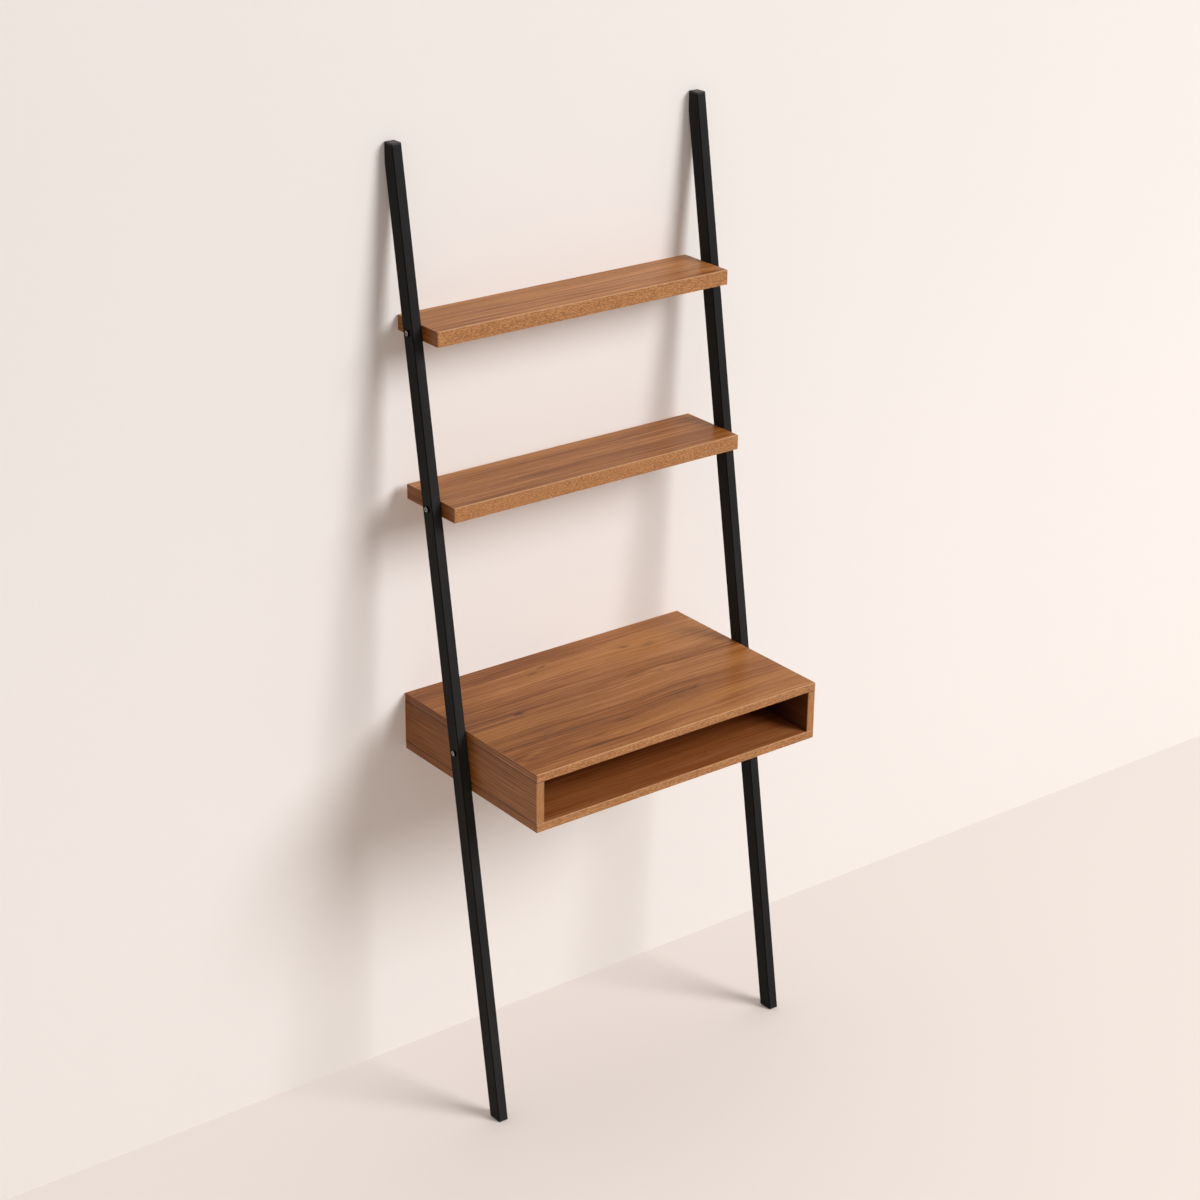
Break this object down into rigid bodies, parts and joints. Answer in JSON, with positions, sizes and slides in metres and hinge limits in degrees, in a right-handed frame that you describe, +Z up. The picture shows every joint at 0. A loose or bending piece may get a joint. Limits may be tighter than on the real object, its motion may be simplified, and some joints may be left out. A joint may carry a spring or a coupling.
{
  "type": "ladder desk",
  "caption": "Leaning ladder desk: slim black tube rails rest on the wall and carry wood shelves and an open desk box for work.",
  "frame": {"origin": "on the floor, midway between the rails and midway between the desk's front and the wall", "axes": "+X to the right along the shelves seen from the front, +Y towards the wall, +Z up"},
  "size_m": [0.6914, 0.415, 1.8],
  "materials": {
    "rail_coat": "satin black powder coat",
    "bracket_coat": "satin black powder coat",
    "plug": "fine moulded texture",
    "veneer": "warm brown wood veneer, satin lacquer",
    "back_veneer": "warm brown wood veneer, satin lacquer",
    "edge_band": "lighter wood edge band, satin lacquer",
    "end_band": "wood edge band, satin lacquer",
    "bolt_zinc": "bright zinc plate",
    "pin_steel": "ground steel",
    "insert_brass": "machined",
    "dowel_wood": "plain beech"
  },
  "bodies": {
    "root": {"bracket_screws": "bolt_zinc", "desk_back": "back_veneer", "desk_bottom": "veneer", "desk_bottom_back_band": "edge_band", "desk_bottom_end_bands": "end_band", "desk_bottom_front_band": "edge_band", "desk_left_dowels": "dowel_wood", "desk_left_side": "veneer", "desk_right_dowels": "dowel_wood", "desk_right_side": "veneer", "desk_side_front_bands": "edge_band", "desk_top": "veneer", "desk_top_back_band": "edge_band", "desk_top_end_bands": "end_band", "desk_top_front_band": "edge_band", "left_foot_plug": "plug", "left_locating_pins": "pin_steel", "left_rail": "rail_coat", "left_rail_bolts": "bolt_zinc", "left_threaded_inserts": "insert_brass", "left_top_plug": "plug", "left_wall_bracket": "bracket_coat", "lower_shelf": "veneer", "lower_shelf_back_band": "edge_band", "lower_shelf_end_bands": "end_band", "lower_shelf_front_band": "edge_band", "right_foot_plug": "plug", "right_locating_pins": "pin_steel", "right_rail": "rail_coat", "right_rail_bolts": "bolt_zinc", "right_threaded_inserts": "insert_brass", "right_top_plug": "plug", "right_wall_bracket": "bracket_coat", "upper_shelf": "veneer", "upper_shelf_back_band": "edge_band", "upper_shelf_end_bands": "end_band", "upper_shelf_front_band": "edge_band"}
  },
  "joints": []
}
